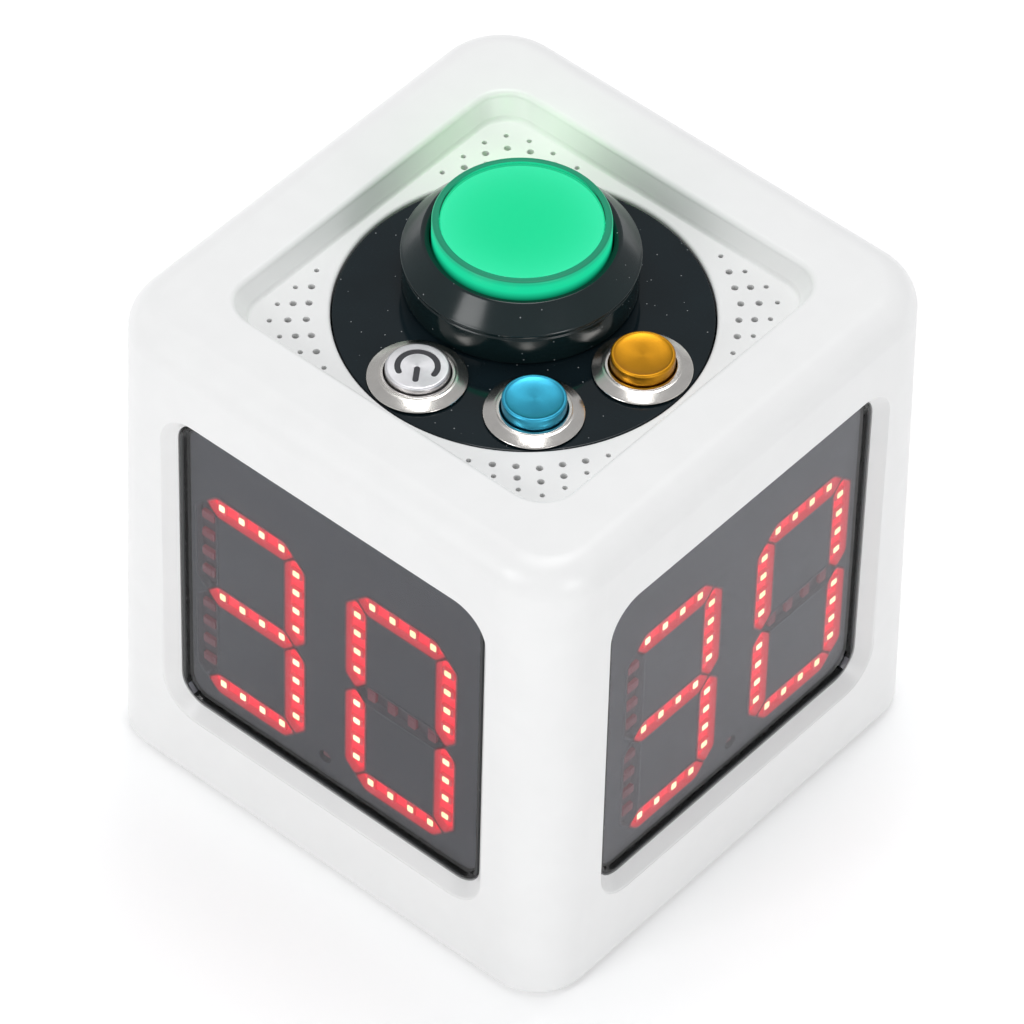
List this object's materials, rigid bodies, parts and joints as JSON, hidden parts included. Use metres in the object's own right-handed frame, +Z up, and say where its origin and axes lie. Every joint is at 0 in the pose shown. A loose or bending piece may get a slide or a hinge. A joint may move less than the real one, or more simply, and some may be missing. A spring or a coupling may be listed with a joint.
{
  "type": "cube game clock",
  "caption": "Cube game clock with a lit number display on each side, a large lit dome button and smaller push buttons in a tray on top.",
  "frame": {"origin": "on the table, under the centre of the case", "axes": "+Z up out of the button tray; -Y out of the front display, +X out of the right display; the dome button stands towards -X +Y"},
  "size_m": [0.106, 0.106, 0.1161],
  "materials": {
    "white_plastic": "gloss moulded",
    "black_gloss": "high gloss",
    "smoked_pane": "smoked gloss acrylic",
    "display_face": "satin",
    "circuit_board": "solder mask",
    "green_lens": "clear tinted, lit",
    "diffuser": "milky",
    "nickel": "fine turned",
    "silver_cap": "satin anodised",
    "blue_cap": "satin anodised",
    "gold_cap": "satin anodised",
    "icon_insert": "satin",
    "steel": "plain",
    "foot_rubber": "matte",
    "dark_plastic": "moulded",
    "battery_wrap": "shrink wrap"
  },
  "bodies": {
    "clock": {"case": "white_plastic", "base_cover": "white_plastic", "control_panel": "black_gloss", "dome_housing": "black_gloss", "window_front": "smoked_pane", "window_right": "smoked_pane", "window_back": "smoked_pane", "window_left": "smoked_pane", "display_face_front": "display_face", "display_face_right": "display_face", "display_face_back": "display_face", "display_face_left": "display_face", "display_board_front": "circuit_board", "display_board_right": "circuit_board", "display_board_back": "circuit_board", "display_board_left": "circuit_board", "main_board": "circuit_board", "power_button_body": "nickel", "blue_button_body": "nickel", "gold_button_body": "nickel", "power_button_nut": "nickel", "blue_button_nut": "nickel", "gold_button_nut": "nickel", "dome_nut": "nickel", "cover_screw_front_left": "steel", "cover_screw_front_right": "steel", "cover_screw_back_right": "steel", "cover_screw_back_left": "steel", "charging_port": "steel", "dome_spring": "steel", "power_button_spring": "steel", "blue_button_spring": "steel", "gold_button_spring": "steel", "foot_front_left": "foot_rubber", "foot_front_right": "foot_rubber", "foot_back_right": "foot_rubber", "foot_back_left": "foot_rubber", "power_button_terminals": "dark_plastic", "blue_button_terminals": "dark_plastic", "gold_button_terminals": "dark_plastic", "dome_switch": "dark_plastic", "switch_bracket": "dark_plastic", "battery_holder": "dark_plastic", "buzzer": "dark_plastic", "battery_cell": "battery_wrap"},
    "dome": {"dome_lens": "green_lens", "dome_diffuser": "diffuser", "dome_plunger": "white_plastic", "dome_lamp": "circuit_board"},
    "switch_plunger": {"switch_button": "dark_plastic"},
    "power_cap": {"power_button_cap": "silver_cap", "power_icon": "icon_insert"},
    "blue_cap": {"blue_button_cap": "blue_cap"},
    "gold_cap": {"gold_button_cap": "gold_cap"}
  },
  "joints": [
    {"name": "dome_press", "type": "slide", "parent": "clock", "child": "dome", "axis": [0, 0, -1], "range_m": [0, 0.0032], "stiffness_N_per_m": 300, "springref_m": -0.006, "deforming": ["dome_spring"]},
    {"name": "power_press", "type": "slide", "parent": "clock", "child": "power_cap", "axis": [0, 0, -1], "range_m": [0, 0.0013], "stiffness_N_per_m": 500, "springref_m": -0.003, "deforming": ["power_button_spring"]},
    {"name": "blue_press", "type": "slide", "parent": "clock", "child": "blue_cap", "axis": [0, 0, -1], "range_m": [0, 0.002], "stiffness_N_per_m": 500, "springref_m": -0.003, "deforming": ["blue_button_spring"]},
    {"name": "gold_press", "type": "slide", "parent": "clock", "child": "gold_cap", "axis": [0, 0, -1], "range_m": [0, 0.002], "stiffness_N_per_m": 500, "springref_m": -0.003, "deforming": ["gold_button_spring"]},
    {"name": "switch_press", "type": "slide", "parent": "clock", "child": "switch_plunger", "axis": [0, 0, -1], "range_m": [0, 0.0032]}
  ],
  "couplings": [
    {"joint": "switch_press", "follows": "dome_press", "ratio": 1}
  ]
}
